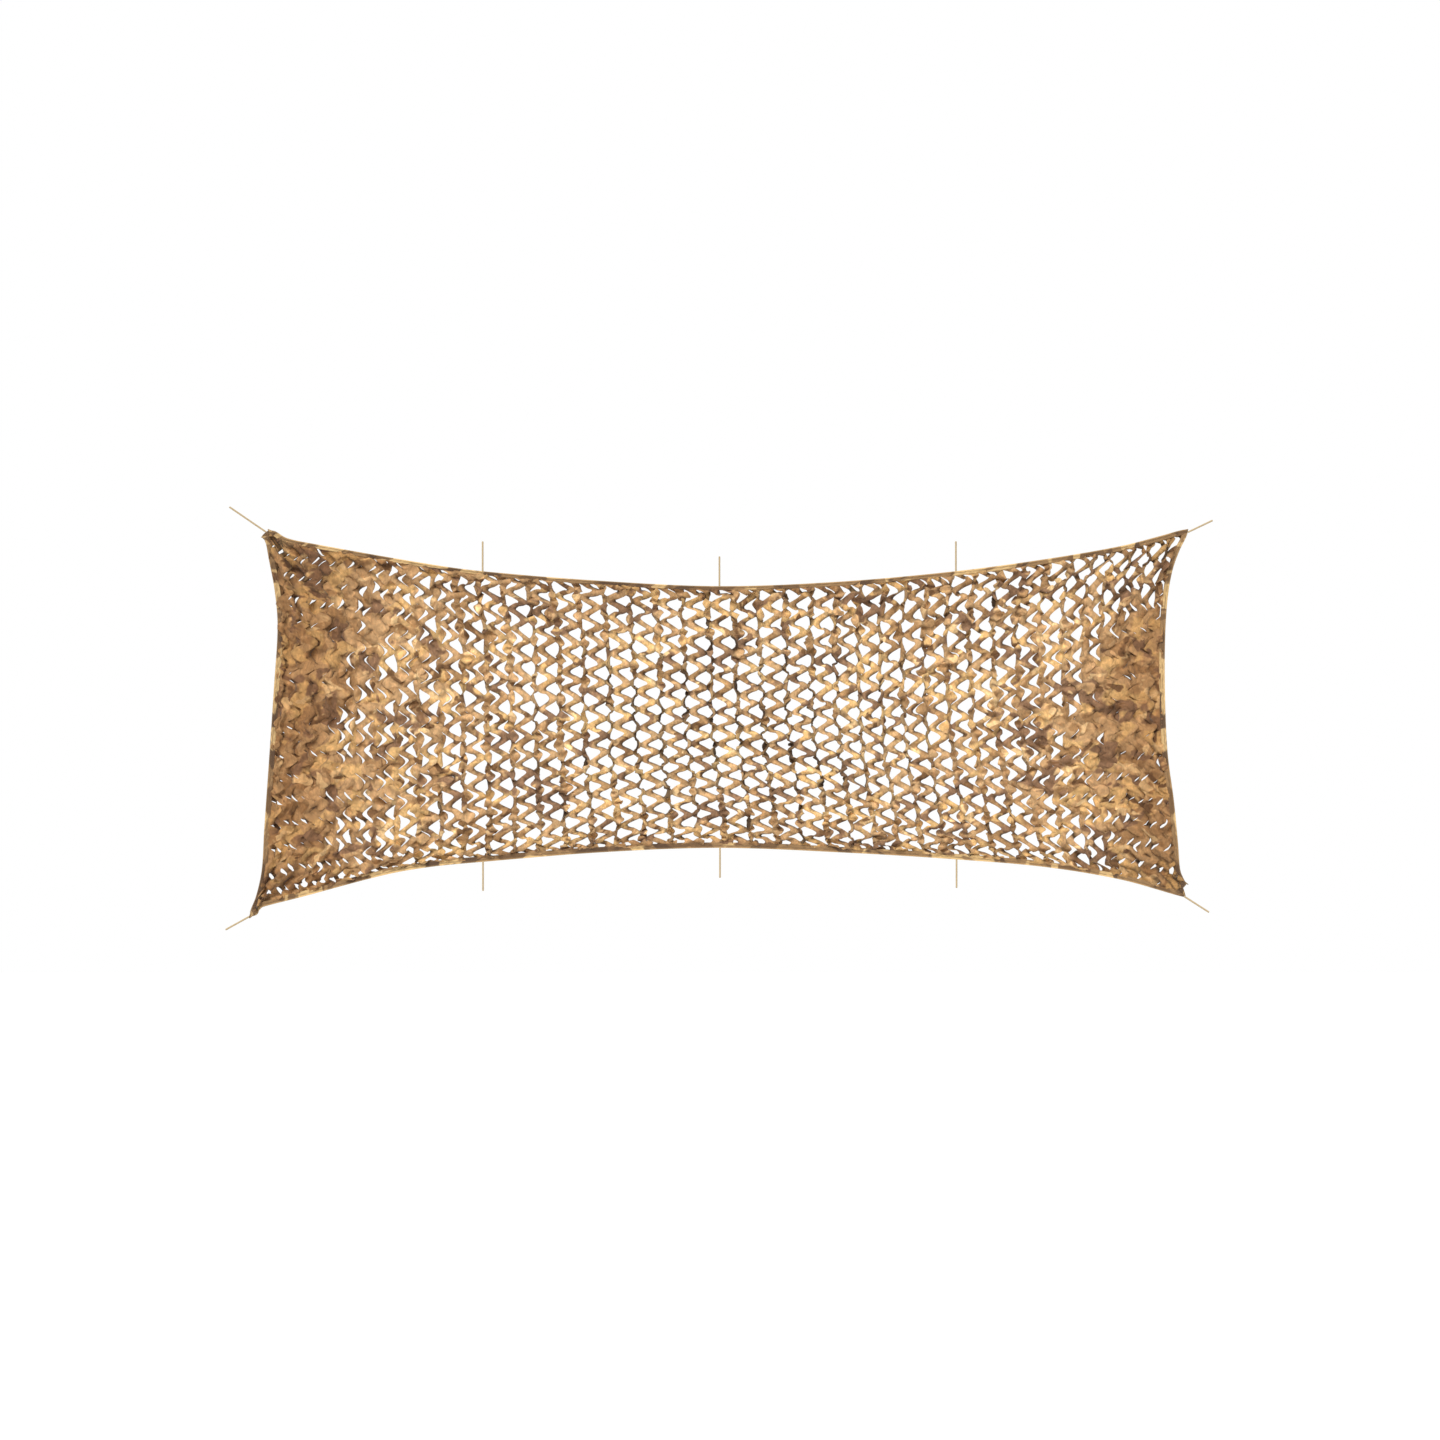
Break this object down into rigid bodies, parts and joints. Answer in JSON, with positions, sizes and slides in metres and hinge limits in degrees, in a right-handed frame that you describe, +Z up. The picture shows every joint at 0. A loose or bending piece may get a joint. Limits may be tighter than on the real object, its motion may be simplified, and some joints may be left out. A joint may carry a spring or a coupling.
{
  "type": "camouflage net",
  "caption": "Rectangular net of slit camouflage cloth with a folded edge binding and tie cords at its corners and along its long edges, strung taut.",
  "frame": {"origin": "middle of the top edge, on the outer line of the binding", "axes": "+X along the net to the viewer's right, +Z up, -Y towards the viewer, so the net hangs in the XZ plane"},
  "size_m": [5.2701, 0.0628, 2.2635],
  "materials": {
    "net_cloth": "printed woven polyester, matt with a slight sheen, in ochre, light brown, mid brown and dark brown blotches",
    "binding_tape": "printed woven tape in the same blotches, darker, matt",
    "tie_cord": "braided beige cord with heat-sealed cut ends, matt"
  },
  "bodies": {
    "root": {"net": "net_cloth", "binding_top": "binding_tape", "binding_bottom": "binding_tape", "binding_left": "binding_tape", "binding_right": "binding_tape", "tie_top_left": "tie_cord", "tie_top_middle": "tie_cord", "tie_top_right": "tie_cord", "tie_bottom_left": "tie_cord", "tie_bottom_middle": "tie_cord", "tie_bottom_right": "tie_cord", "tie_corner_top_left": "tie_cord", "tie_corner_top_right": "tie_cord", "tie_corner_bottom_left": "tie_cord", "tie_corner_bottom_right": "tie_cord"}
  },
  "joints": []
}
